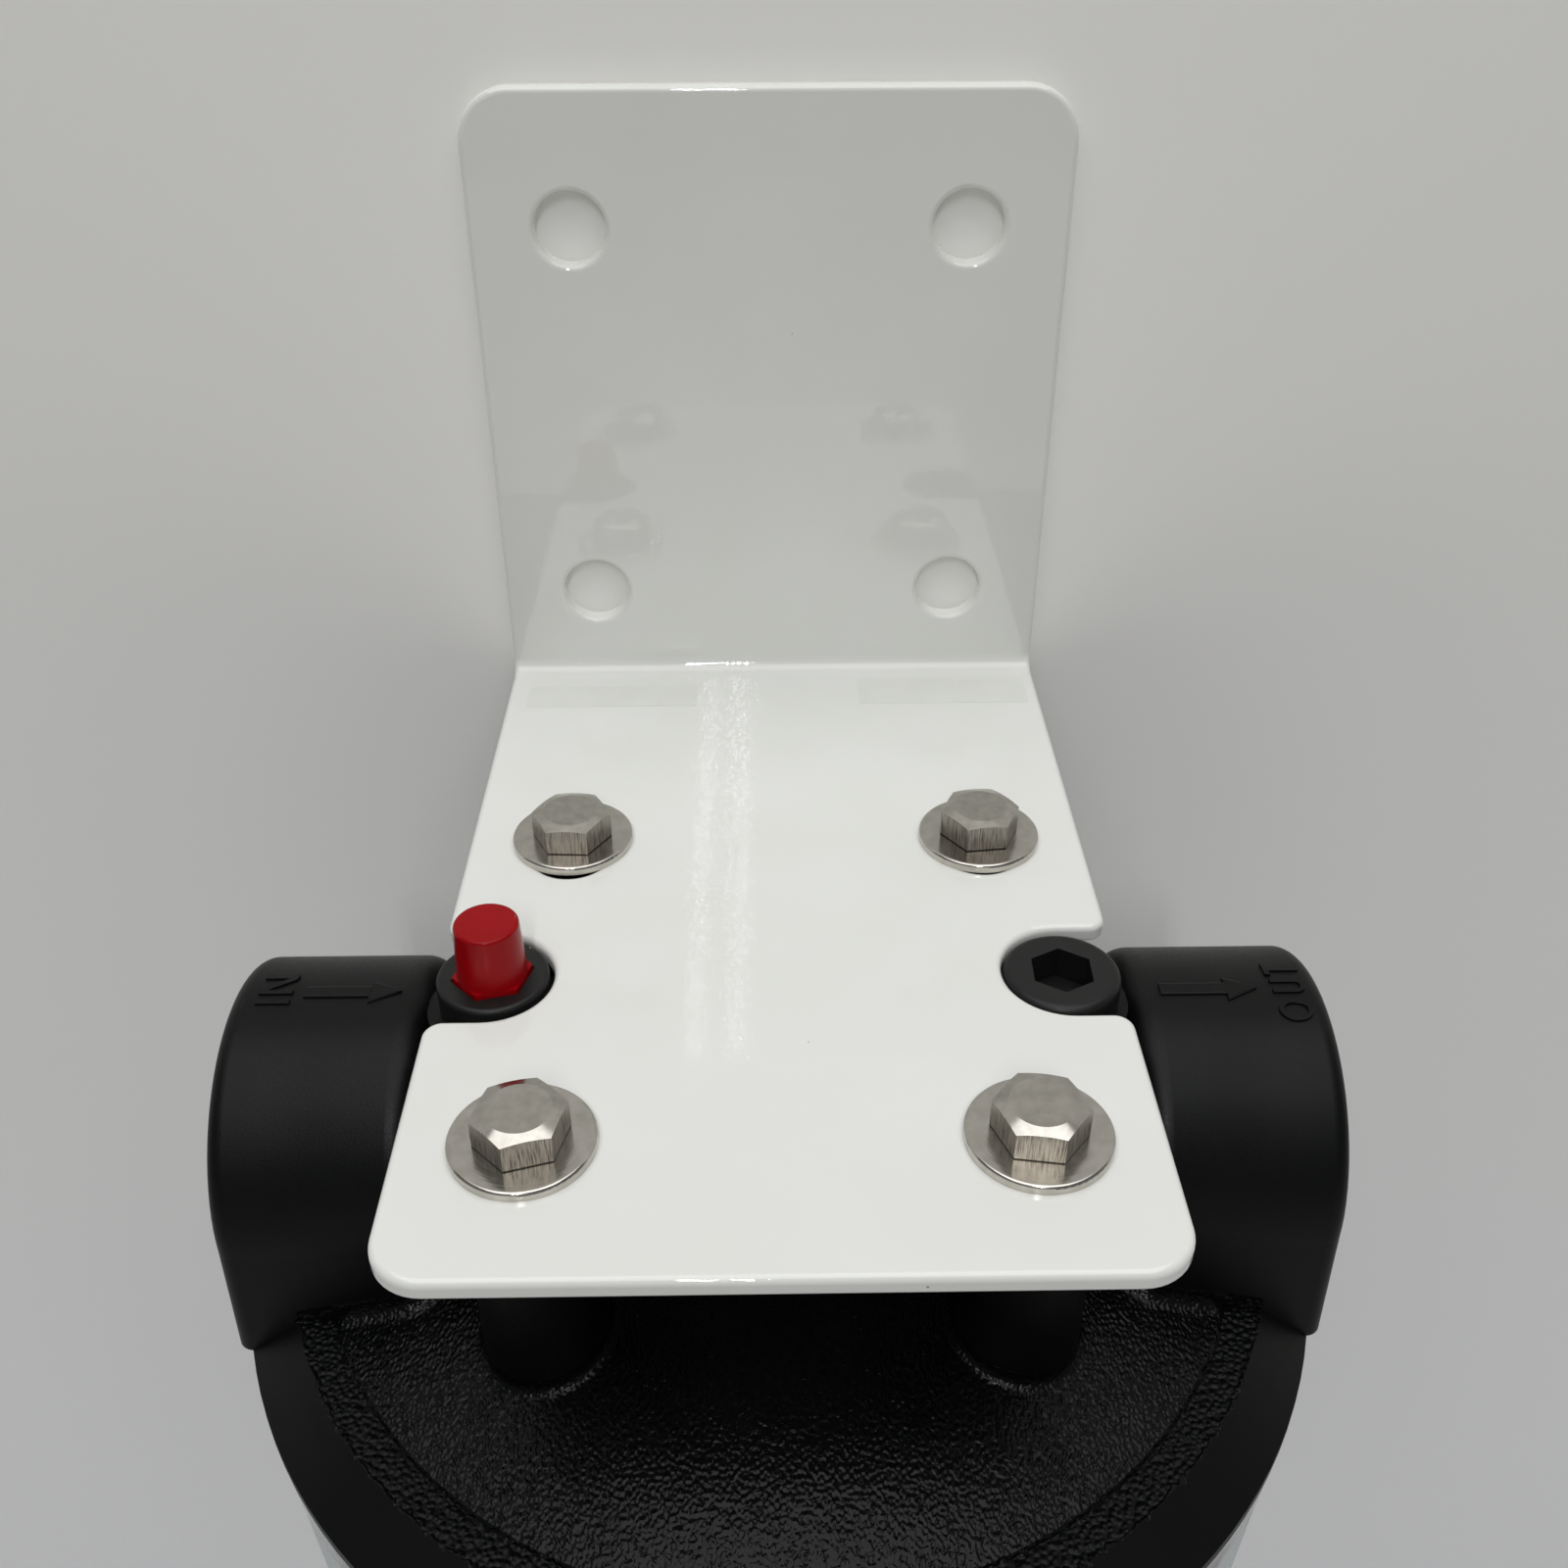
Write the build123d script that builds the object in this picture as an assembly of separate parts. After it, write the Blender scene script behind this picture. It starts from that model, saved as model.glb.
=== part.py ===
from build123d import *
import math
import os

# Whole house water filter: an L bracket for a wall, a moulded head bolted under its shelf,
# a clear sump screwed up under the head and a pleated cartridge standing inside it.
# Lengths are in millimetres. +Z is up, +Y runs into the wall, the inlet is on the left at -X.
# The origin is the centre of the four wall holes, on the bracket's back face.

# Bracket
sheet = 3.2
bracket_width = 114.3
wall_rise = 119.8
shelf_front = 63.0
wall_gap = 11.9
bend_inner_r = 3.0
wall_corner_r = 10.0
shelf_corner_r = 8.5
wall_pitch = 75.6
wall_hole_d = 13.7
wall_hole_height = 57.0
notch_r = 10.95
notch_shift = 0.75
notch_mouth_r = 3.2
slot_travel = 4.0
edge_round = 1.2
back_edge_round = 0.5

# Bolts, washers and threaded inserts that hold the head to the shelf
head_pitch = 75.8
bolt_d = 7.9
bolt_length = 24.0
bolt_hex_flats = 12.7
bolt_head_height = 5.6
bolt_chamfer_share = 0.78
bolt_chamfer_angle = 20
bolt_turns = (-2.6, 6.3, 15.7, -8.9)
bolt_end_gap = 1.2
bolt_hole_play = 1.6
washer_d = 22.25
washer_thickness = 1.6
washer_play = 0.6
insert_wall = 1.85
insert_length = 14.0
insert_set_back = 0.4

# Head, with depths measured down from the top face of the shelf
port_axis_drop = 34.4
port_boss_r = 29.9
port_boss_length = 34.5
port_end_inset = 2.5
port_outer_fillet = 3.0
port_inner_fillet = 5.5
port_root_fillet = 2.6
port_flank_flare = 1.5
port_bore_r = 16.2
port_bore_depth = 24.0
port_chamfer = 1.2
passage_r = 13.2
tunnel_wall = 6.8
rim_drop = 21.2
flange_rim = 2.0
shoulder_height = 6.6
flank_width = 8.4
shoulder_width = 5.7
shoulder_sink = 0.5
crown_rise = 9.8
bolt_boss_d = 20.4
bolt_boss_fillet = 1.6
plug_side_gap = 0.4
gauge_boss_r = 11.6
gauge_boss_drop = 6.6
gauge_bore_r = 6.6
chamber_roof = 6.8
chamber_height = 10.6
inlet_drop_offset = 52.0
inlet_drop_r = 9.0
spigot_wall = 6.0
spigot_land = 6.0
spigot_length = 25.4
thread_height = 2.5
post_wall = 3.3
nose_length = 5.0
nose_play = 0.9
nose_wall = 1.9
knife_offset = 2.9
knife_height = 1.6
web_thickness = 3.2
web_height = 7.0
web_count = 8

# Sump
rim_width = 10.7
rim_height = 8.0
collar_wall = 6.8
collar_height = 50.0
collar_taper = 2.2
rib_count = 24
rib_width = 5.4
rib_edge_r = 0.3
collar_step = 7.2
collar_ramp = 15.0
body_draft = 4.5
body_wall = 5.4
water_gap = 10.1
sump_floor = 7.0
sump_bottom_r = 14.0
foot_inset = 6.5
foot_height = 2.4
seat_rib_count = 6
seat_rib_inset = 1.0
seat_rib_height = 4.5

# Cartridge
cartridge_length = 248.0
cartridge_r = 57.0
cap_skirt = 12.0
cap_plate = 4.5
cap_lip = 2.0
cap_edge_r = 1.5
cartridge_bore_r = 14.3
gasket_width = 7.2
gasket_thickness = 3.4
gasket_sink = 2.4
pleat_count = 60
pleat_play = 1.0
pleat_core_gap = 4.5
pleat_tip = 0.8
core_offset = 5.2
core_wall = 3.0
core_window_rows = 8
core_windows_round = 6
core_window_width = 6.0

# Relief valve and gauge port plug
valve_r = 9.4
valve_rise = 0.2
valve_edge_r = 0.8
valve_socket_flats = 12.1
button_turn = 14
shank_length = 14.0
shank_gap = 0.2
spring_play = 0.65
spring_chamber_depth = 9.0
neck_play = 0.25
neck_length = 3.0
poppet_play = 0.7
poppet_r = 3.9
poppet_thickness = 1.5
poppet_seal_thickness = 1.2
stem_r = 1.5
stem_grip = 5.5
button_foot_play = 0.6
button_foot_height = 2.5
button_foot_rise = 1.0
button_side_gap = 0.15
button_taper = 0.55
button_rise = 11.2
button_edge_r = 0.6
button_travel = 2.5
spring_r = 3.2
spring_wire = 0.7
spring_turns = 6
plug_r = 9.9
plug_top_drop = 0.3
plug_edge_r = 1.4
plug_socket_flats = 9.8
plug_socket_depth = 6.0
plug_turn = 28
port_ring_offset = 0.75
port_ring_wire = 1.4
sump_ring_offset = 4.8
sump_ring_wire = 4.6
ring_groove_gap = 0.15

# Clearances, the overrun of every cut, and how near a point counts as lying on a face
running_gap = 0.3
seat_gap = 0.1
over = 2.0
touch = 0.01

# Levels and places that follow from the sizes above
body_bottom_r = cartridge_r + water_gap + body_wall
body_top_r = body_bottom_r + body_draft
collar_bore_r = body_top_r + collar_step
sump_ring_r = collar_bore_r + sump_ring_offset
flange_r = collar_bore_r + rim_width
shoulder_outer_r = flange_r - flank_width
shoulder_inner_r = shoulder_outer_r - shoulder_width
port_boss_end = flange_r - port_end_inset
port_boss_start = port_boss_end - port_boss_length
gauge_offset = port_boss_start - plug_r - plug_side_gap
tunnel_r = passage_r + tunnel_wall
knife_r = cartridge_bore_r + knife_offset
post_r = knife_r + post_wall
nose_r = cartridge_bore_r - nose_play
post_bore_r = nose_r - nose_wall
gasket_r = cartridge_bore_r + gasket_width
core_r = cartridge_bore_r + core_offset
pleat_inner_r = core_r + pleat_core_gap
pleat_outer_r = cartridge_r - cap_lip - pleat_play
foot_r = body_bottom_r - sump_bottom_r - foot_inset
hole_d = bolt_d + bolt_hole_play
insert_d = bolt_d + 2 * insert_wall
spring_chamber_r = spring_r + spring_wire / 2 + spring_play
neck_r = stem_r + neck_play
poppet_chamber_r = poppet_r + poppet_play
button_foot_flats = valve_socket_flats - button_foot_play
button_base_r = valve_socket_flats / 2 - button_side_gap
button_top_r = button_base_r - button_taper
port_ring_r = gauge_bore_r + port_ring_offset
shelf_top = -wall_hole_height
shelf_under = shelf_top - sheet
head_y = -(flange_r + wall_gap)
shelf_end = head_y - shelf_front
port_z = shelf_top - port_axis_drop
flange_edge_z = port_z - rim_drop
flange_under_z = flange_edge_z - flange_rim
shoulder_z = flange_edge_z + shoulder_height
chamber_z = port_z - passage_r - chamber_roof
spigot_z = flange_under_z - spigot_length
spigot_land_r = collar_bore_r - running_gap
spigot_r = spigot_land_r - thread_height
chamber_r = spigot_r - spigot_wall
sump_top_z = flange_under_z - running_gap
collar_z = sump_top_z - collar_height
cartridge_top_z = chamber_z - chamber_height
cartridge_bottom_z = cartridge_top_z - cartridge_length
sump_inner_floor_z = cartridge_bottom_z - seat_gap - knife_height - seat_rib_height
sump_bottom_z = sump_inner_floor_z - sump_floor
gauge_boss_z = shelf_top - gauge_boss_drop
valve_top_z = shelf_top + valve_rise
shank_end_z = gauge_boss_z - shank_length
shank_r = gauge_bore_r - shank_gap
button_foot_z = shelf_top + button_foot_rise - button_foot_height
socket_floor_z = button_foot_z - button_travel - running_gap
chamber_floor_z = socket_floor_z - spring_chamber_depth
neck_end_z = chamber_floor_z - neck_length
head_corners = [(sx * head_pitch / 2, head_y + sy * head_pitch / 2) for sy in (1, -1) for sx in (-1, 1)]


def at_head_axis(shape):
    return Pos(0, head_y, 0) * shape


# Revolves an outline of radius and height pairs about the vertical axis.
def turned(points):
    return revolve(make_face(Plane.XZ * Polyline(*points, close=True)), Axis.Z)


def rod(radius, low, high, x=0, y=0):
    return Pos(x, y, (low + high) / 2) * Cylinder(radius, high - low)


def tube(outer, inner, low, high):
    return rod(outer, low, high) - rod(inner, low - over, high + over)


def hex_rod(flats, low, high, turn=0):
    outline = RegularPolygon(flats / 2, 6, major_radius=False, rotation=turn)
    return Pos(0, 0, low) * extrude(outline, high - low)


def ring(radius, wire, z):
    return Pos(0, 0, z) * Torus(radius, wire / 2)


def edges_near(shape, axis, test):
    return [e for e in shape.edges().filter_by(axis) if test(e.center())]


def save(name, shape):
    export_step(shape, f"parts/{name}.step")


def group(shapes):
    return Compound(children=list(shapes))


# Bracket: one folded sheet, with four wall holes, two open side notches for the small ports,
# two round bolt holes in front and two slotted ones behind.
def notch(side):
    x = side * (gauge_offset + notch_shift)
    width = bracket_width
    mouth = Pos(x + side * width / 2, head_y, shelf_top) * Box(width, 2 * notch_r, width)
    return rod(notch_r, shelf_under - over, shelf_top + over, x, head_y) + mouth


def back_slot(x, y):
    outline = Pos(x, y, shelf_under - over) * SlotCenterToCenter(2 * slot_travel, wall_hole_d, rotation=90)
    return extrude(outline, sheet + 2 * over)


def wall_hole(x, z):
    return Pos(x, -sheet / 2, z) * Rot(90, 0, 0) * Cylinder(wall_hole_d / 2, sheet + 2 * over)


def on_front(c):
    return (abs(c.Y + sheet) < touch and c.Z > shelf_top) or (abs(c.Z - shelf_top) < touch and c.Y < -sheet)


def on_back(c):
    return (abs(c.Y) < touch and c.Z > shelf_under) or (abs(c.Z - shelf_under) < touch and c.Y < 0)


# Rounds the outline of one skin, where it is an outer edge, a notch or a bend, and its holes if asked.
def soften(plate, on_skin, bend_r, radius, holes):
    loop = []
    for e in plate.edges():
        round_edge = e.geom_type == GeomType.CIRCLE
        bend = round_edge and abs(e.radius - bend_r) < touch and abs(e.center().X) > sheet
        hole = (round_edge and e.is_closed) or any(
            abs(abs(e.center().X) - head_pitch / 2) < wall_hole_d
            and abs(e.center().Y - y) < wall_hole_d for x, y in head_corners
        )
        if bend or (on_skin(e.center()) and (holes or not hole)):
            loop.append(e)
    return fillet(loop, radius)


def bracket():
    wall_top = shelf_top + wall_rise
    outline = Polyline(
        (0, wall_top),
        (0, shelf_under),
        (shelf_end, shelf_under),
        (shelf_end, shelf_top),
        (-sheet, shelf_top),
        (-sheet, wall_top),
        close=True,
    )
    plate = extrude(make_face(Plane.YZ * outline), bracket_width / 2, both=True)
    heel = edges_near(plate, Axis.X, lambda c: c.Y > -sheet / 2 and c.Z < shelf_top)
    plate = fillet(heel, bend_inner_r + sheet)
    corner = edges_near(plate, Axis.X, lambda c: abs(c.Y + sheet) < touch and abs(c.Z - shelf_top) < touch)
    plate = fillet(corner, bend_inner_r)
    plate = fillet(edges_near(plate, Axis.Y, lambda c: c.Z > 0), wall_corner_r)
    plate = fillet(edges_near(plate, Axis.Z, lambda c: c.Y < head_y), shelf_corner_r)
    for side in (-1, 1):
        plate -= notch(side)
    mouths = edges_near(plate, Axis.Z, lambda c: abs(abs(c.Y - head_y) - notch_r) < sheet / 2)
    plate = fillet(mouths, notch_mouth_r)
    for x in (-wall_pitch / 2, wall_pitch / 2):
        for z in (-wall_pitch / 2, wall_pitch / 2):
            plate -= wall_hole(x, z)
    for x, y in head_corners:
        if y > head_y:
            plate -= back_slot(x, y)
        else:
            plate -= rod(hole_d / 2, shelf_under - over, shelf_top + over, x, y)
    plate = soften(plate, on_front, bend_inner_r, edge_round, True)
    return soften(plate, on_back, bend_inner_r + sheet, back_edge_round, False)


# Hex bolts with a chamfered top, their washers, and the brass inserts moulded in the head.
def bolt(turn):
    low = shelf_top + washer_thickness
    top = low + bolt_head_height
    corner_r = bolt_hex_flats / 2 / math.cos(math.pi / 6)
    face_r = bolt_chamfer_share * bolt_hex_flats / 2
    chamfer_drop = (corner_r - face_r) * math.tan(math.radians(bolt_chamfer_angle))
    crown = turned([(0, low), (corner_r, low), (corner_r, top - chamfer_drop), (face_r, top), (0, top)])
    return (hex_rod(bolt_hex_flats, low, top, turn) & crown) + rod(bolt_d / 2, low - bolt_length, low)


def bracket_bolts():
    return group(Pos(x, y, 0) * bolt(turn) for (x, y), turn in zip(head_corners, bolt_turns))


def washer():
    blank = tube(washer_d / 2, hole_d / 2, shelf_top, shelf_top + washer_thickness)
    rims = blank.edges().filter_by(GeomType.CIRCLE).group_by(Axis.Z)[-1].sort_by(SortBy.RADIUS)
    return fillet(rims[-1], washer_thickness / 3)


def bolt_washers():
    play = [washer_play, 0, 0, 0]
    return group(Pos(x, y + shift, 0) * washer() for (x, y), shift in zip(head_corners, play))


def boss_inserts():
    top = shelf_under - insert_set_back
    sleeve = tube(insert_d / 2, bolt_d / 2 + seat_gap, top - insert_length, top)
    return group(Pos(x, y, 0) * sleeve for x, y in head_corners)


# Head: a shallow crown with a sharp rim, two port bosses, four bolt bosses and two gauge bosses
# outside; an annular inlet chamber, a threaded spigot and a hollow outlet post inside.
def crown():
    top_z = shoulder_z + crown_rise
    edge_r = shoulder_inner_r - shoulder_sink
    edge_z = shoulder_z + shoulder_sink
    rise = top_z - edge_z
    dome_r = (edge_r**2 + rise**2) / (2 * rise)
    middle = (edge_r / 2, top_z - dome_r + math.sqrt(dome_r**2 - (edge_r / 2) ** 2))
    rim = Polyline(
        (0, top_z),
        (0, flange_under_z),
        (flange_r, flange_under_z),
        (flange_r, flange_edge_z),
        (shoulder_outer_r, shoulder_z),
        (shoulder_inner_r, shoulder_z),
        (edge_r, edge_z),
    )
    dome = ThreePointArc((edge_r, edge_z), middle, (0, top_z))
    return revolve(make_face((Plane.XZ * rim).edges() + (Plane.XZ * dome).edges()), Axis.Z)


def bolt_bosses():
    low = shoulder_z + bolt_boss_fillet
    return [rod(bolt_boss_d / 2, low, shelf_under, x, y - head_y) for x, y in head_corners]


def crown_with_bosses():
    body = crown()
    for boss in bolt_bosses():
        body += boss
    roots = [e for e in body.edges() if e.center().Z > shoulder_z and e.center().Z < shelf_under - over
             and abs(math.hypot(e.center().X, e.center().Y) - head_pitch / math.sqrt(2)) < bolt_boss_d / 2
             and e.geom_type not in (GeomType.LINE, GeomType.CIRCLE)]
    return fillet(roots, bolt_boss_fillet)


def along_x(radius, low, high):
    return Pos((low + high) / 2, 0, port_z) * Rot(0, 90, 0) * Cylinder(radius, high - low)


def port_boss(side):
    foot_y = port_boss_r + port_flank_flare
    arch = ThreePointArc((-port_boss_r, port_z), (0, port_z + port_boss_r), (port_boss_r, port_z))
    skirt = Polyline(
        (port_boss_r, port_z), (foot_y, flange_edge_z), (-foot_y, flange_edge_z), (-port_boss_r, port_z)
    )
    face = make_face((Plane.YZ * arch).edges() + (Plane.YZ * skirt).edges())
    boss = Pos(port_boss_start, 0, 0) * extrude(face, port_boss_end - port_boss_start, dir=Axis.X.direction)
    for x, radius in ((port_boss_end, port_outer_fillet), (port_boss_start, port_inner_fillet)):
        lips = [e for e in boss.edges() if abs(e.center().X - x) < touch and e.center().Z > port_z - over]
        boss = fillet(lips, radius)
    return boss if side > 0 else mirror(boss, Plane.YZ)


def port_bore(side):
    cut = along_x(port_bore_r, port_boss_end - port_bore_depth, port_boss_end + over)
    mouth = Pos(port_boss_end - port_chamfer / 2, 0, port_z) * Rot(0, 90, 0) * Cone(
        port_bore_r, port_bore_r + port_chamfer, port_chamfer
    )
    cut += mouth
    return cut if side > 0 else mirror(cut, Plane.YZ)


def gauge_boss(side):
    return rod(gauge_boss_r, port_z, gauge_boss_z, side * gauge_offset)


def gauge_bore(side):
    x = side * gauge_offset
    seat_r = port_ring_r + port_ring_wire / 2 + ring_groove_gap
    seat = rod(seat_r, gauge_boss_z - port_ring_wire - ring_groove_gap, gauge_boss_z + over, x)
    return rod(gauge_bore_r, port_z, gauge_boss_z + over, x) + seat


def spigot():
    land = tube(spigot_land_r, chamber_r, flange_under_z - spigot_land, flange_under_z)
    skirt = tube(spigot_r, chamber_r, spigot_z, flange_under_z)
    tips = skirt.edges().filter_by(GeomType.CIRCLE).group_by(Axis.Z)[0]
    return land + chamfer(tips, thread_height / 2)


# A ring with a sharp edge that bites into a cartridge gasket, pointing down or up.
def knife(base_z, height):
    tip_z = base_z + height
    half = abs(height) / 2
    return turned([(knife_r - half, base_z), (knife_r + half, base_z), (knife_r, tip_z)])


def outlet_post():
    end_z = cartridge_top_z + seat_gap + knife_height
    nose_z = cartridge_top_z - nose_length
    return rod(post_r, end_z, chamber_z) + knife(end_z, -knife_height) + rod(nose_r, nose_z, end_z)


def chamber_webs():
    span = chamber_r + seat_gap - post_r + 2 * seat_gap
    middle = (chamber_r + post_r) / 2
    web = Pos(middle, 0, chamber_z - web_height / 2) * Box(span, web_thickness, web_height)
    half_step = 180 / web_count
    return [Rot(0, 0, half_step + 2 * half_step * i) * web for i in range(web_count)]


# The edges where the inner ends of the port bosses meet the crown.
def port_roots(body):
    low = shoulder_z + shoulder_sink + touch
    reach = shoulder_inner_r - shoulder_sink
    return [e for e in body.edges()
            if abs(e.center().X) > port_boss_start - touch
            and math.hypot(e.center().X, e.center().Y) < reach
            and low < e.center().Z < shoulder_z + crown_rise
            and abs((e @ 0).Z - (e @ 1).Z) < crown_rise / 2]


def head():
    body = crown_with_bosses()
    for side in (-1, 1):
        body += port_boss(side)
        body += gauge_boss(side)
    body = fillet(port_roots(body), port_root_fillet)
    body += along_x(tunnel_r, -port_boss_start - port_inner_fillet, port_boss_start + port_inner_fillet)
    body -= tube(chamber_r, post_r, flange_under_z - over, chamber_z)
    body += spigot()
    body += outlet_post()
    for web in chamber_webs():
        body += web
    for side in (-1, 1):
        body -= port_bore(side)
        body -= gauge_bore(side)
    body -= along_x(passage_r, -port_boss_end, passage_r - inlet_drop_offset)
    body -= rod(inlet_drop_r, chamber_z - over, port_z, -inlet_drop_offset)
    body -= along_x(passage_r, 0, port_boss_end)
    body -= rod(post_bore_r, cartridge_top_z - nose_length - over, port_z)
    for x, y in head_corners:
        depth = bolt_length - washer_thickness - sheet + bolt_end_gap
        body -= rod(insert_d / 2 + seat_gap, shelf_under - depth, shelf_under + over, x, y - head_y)
    return at_head_axis(body)


# Sump: a drafted bucket with a thick ribbed collar that screws over the head's spigot.
def collar_edge(z, top_r):
    return top_r - collar_taper * (sump_top_z - z) / collar_height


def sump_outline():
    rim_r = flange_r - running_gap
    rim_z = sump_top_z - rim_height
    wall_r = collar_bore_r + collar_wall
    body_z = collar_z - collar_ramp
    ledge_z = spigot_z - thread_height
    inner_top_r = body_top_r - body_wall
    return [
        (0, sump_bottom_z),
        (body_bottom_r, sump_bottom_z),
        (body_top_r, body_z),
        (collar_edge(collar_z, wall_r), collar_z),
        (collar_edge(rim_z, wall_r), rim_z),
        (collar_edge(rim_z, rim_r), rim_z),
        (rim_r, sump_top_z),
        (collar_bore_r, sump_top_z),
        (collar_bore_r, ledge_z),
        (inner_top_r, body_z),
        (body_bottom_r - body_wall, sump_inner_floor_z),
        (0, sump_inner_floor_z),
    ]


def grip_rib():
    rim_z = sump_top_z - rim_height
    wall_r = collar_bore_r + collar_wall
    rim_r = flange_r - running_gap
    root_r = collar_bore_r + collar_wall / 2 - collar_taper
    outline = Polyline(
        (root_r, rim_z + rib_edge_r),
        (collar_edge(rim_z, rim_r) - rib_edge_r, rim_z + rib_edge_r),
        (collar_edge(collar_z, rim_r) - rib_edge_r, collar_z + rim_height / 2),
        (collar_edge(collar_z, wall_r), collar_z + rib_edge_r),
        (root_r, collar_z + rib_edge_r),
        close=True,
    )
    return extrude(make_face(Plane.XZ * outline), rib_width / 2, both=True)


def sump_seat():
    disc_z = sump_inner_floor_z + seat_rib_height
    seat = rod(knife_r + knife_height, sump_inner_floor_z - over, disc_z) + knife(disc_z, knife_height)
    seat += rod(nose_r, disc_z, cartridge_bottom_z + nose_length)
    reach = cartridge_r - seat_rib_inset
    web = Pos(reach / 2, 0, disc_z - seat_rib_height / 2 - seat_gap) * Box(reach, web_thickness, seat_rib_height)
    for i in range(seat_rib_count):
        seat += Rot(0, 0, 360 * i / seat_rib_count) * web
    return seat


def sump():
    bucket = turned(sump_outline())
    circles = bucket.edges().filter_by(GeomType.CIRCLE)
    bottom = [e for e in circles if abs(e.radius - body_bottom_r) < seat_gap]
    bucket = fillet(bottom, sump_bottom_r)
    circles = bucket.edges().filter_by(GeomType.CIRCLE)
    waist = [e for e in circles if abs(e.radius - body_top_r) < seat_gap]
    bucket = fillet(waist, collar_ramp / 2)
    inner_corner = [e for e in bucket.edges().filter_by(GeomType.CIRCLE)
                    if abs(e.radius - body_bottom_r + body_wall) < seat_gap]
    bucket = fillet(inner_corner, sump_bottom_r - body_wall)
    for i in range(rib_count):
        bucket += Rot(0, 0, 360 * i / rib_count) * grip_rib()
    bucket += sump_seat()
    bucket += tube(foot_r, foot_r - body_wall, sump_bottom_z - foot_height, sump_bottom_z + over)
    groove_r = sump_ring_wire / 2 + ring_groove_gap
    groove_z = sump_top_z - sump_ring_wire + seat_gap
    bucket -= tube(sump_ring_r + groove_r, sump_ring_r - groove_r, groove_z, sump_top_z)
    return at_head_axis(bucket)


def sump_o_ring():
    z = sump_top_z - sump_ring_wire / 2 + 2 * seat_gap
    return at_head_axis(ring(sump_ring_r, sump_ring_wire, z))


# Cartridge: pleated media round a windowed core, glued into two end caps with soft gaskets.
cap_top_z = cartridge_top_z - gasket_thickness + gasket_sink
cap_bottom_z = cartridge_bottom_z + gasket_thickness - gasket_sink
media_top_z = cap_top_z - cap_plate
media_bottom_z = cap_bottom_z + cap_plate


# One star outline: each tip and each valley is a pair of points, half a width to either side.
def star(tip_r, tip_half, valley_r, valley_half):
    points = []
    step = math.pi / pleat_count
    for i in range(2 * pleat_count):
        radius, half = (tip_r, tip_half) if i % 2 == 0 else (valley_r, valley_half)
        middle = i * step
        for side in (-1, 1):
            x = radius * math.cos(middle) - side * half * math.sin(middle)
            y = radius * math.sin(middle) + side * half * math.cos(middle)
            points.append((x, y))
    return make_face(Polyline(*points, close=True))


def cartridge_pleats():
    fold = pleat_tip / 2
    outside = star(pleat_outer_r, fold, pleat_inner_r + 3 * pleat_tip, fold / 2)
    inside = star(pleat_outer_r - 2 * pleat_tip, fold / 8, pleat_inner_r, fold)
    media = extrude(outside - inside, media_top_z - media_bottom_z, dir=Axis.Z.direction)
    return at_head_axis(Pos(0, 0, media_bottom_z) * media)


def cartridge_core():
    core = tube(core_r, core_r - core_wall, media_bottom_z, media_top_z)
    row = (media_top_z - media_bottom_z) / core_window_rows
    for j in range(core_window_rows):
        z = media_bottom_z + (2 * j + 1) * row / 2
        for i in range(core_windows_round):
            window = Pos(core_r - core_wall / 2, 0, z) * Box(2 * core_wall, core_window_width, row / 2)
            core -= Rot(0, 0, 360 * (i + j / 2) / core_windows_round) * window
    return at_head_axis(core)


def end_cap(face_z, inward):
    plate_z = face_z + inward * cap_plate
    skirt_z = face_z + inward * cap_skirt
    low, high = sorted((face_z, skirt_z))
    blank = rod(cartridge_r, low, high)
    rims = blank.edges().filter_by(GeomType.CIRCLE).sort_by(Axis.Z)
    blank = fillet(rims[0] if inward > 0 else rims[-1], cap_edge_r)
    inner_low, inner_high = sorted((plate_z, skirt_z + inward * over))
    blank -= rod(cartridge_r - cap_lip, inner_low, inner_high)
    recess_low, recess_high = sorted((face_z - inward * over, face_z + inward * gasket_sink))
    blank -= rod(gasket_r + seat_gap, recess_low, recess_high)
    blank -= rod(cartridge_bore_r, low - over, high + over)
    return at_head_axis(blank)


def cartridge_gasket(outer_z, inward):
    low, high = sorted((outer_z, outer_z + inward * gasket_thickness))
    return at_head_axis(tube(gasket_r, cartridge_bore_r + seat_gap, low, high))


# Relief valve: a flanged body with a hexagonal socket, a red button on a stem, a return spring,
# and a sealed disc under the neck that lets water out past the stem when the button is pressed.
def valve_body():
    body = rod(valve_r, gauge_boss_z, valve_top_z)
    lip = body.edges().filter_by(GeomType.CIRCLE).sort_by(Axis.Z)[-1]
    body = fillet(lip, valve_edge_r)
    body += rod(shank_r, shank_end_z, gauge_boss_z)
    body -= hex_rod(valve_socket_flats, socket_floor_z, valve_top_z + over, button_turn)
    body -= rod(spring_chamber_r, chamber_floor_z, valve_top_z)
    body -= rod(neck_r, neck_end_z - over, chamber_floor_z + over)
    body -= rod(poppet_chamber_r, shank_end_z - over, neck_end_z)
    return Pos(-gauge_offset, head_y, 0) * body


def relief_button():
    foot_top_z = button_foot_z + button_foot_height
    cap = turned([
        (0, button_foot_z),
        (button_base_r, button_foot_z),
        (button_base_r, foot_top_z),
        (button_top_r, shelf_top + button_rise),
        (0, shelf_top + button_rise),
    ])
    lip = cap.edges().filter_by(GeomType.CIRCLE).sort_by(Axis.Z)[-1]
    cap = fillet(lip, button_edge_r)
    cap += hex_rod(button_foot_flats, button_foot_z, foot_top_z, button_turn)
    cap -= rod(stem_r + seat_gap, button_foot_z - over, button_foot_z + stem_grip)
    return Pos(-gauge_offset, head_y, 0) * cap


def poppet_top_z():
    return neck_end_z - seat_gap - poppet_seal_thickness


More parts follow.
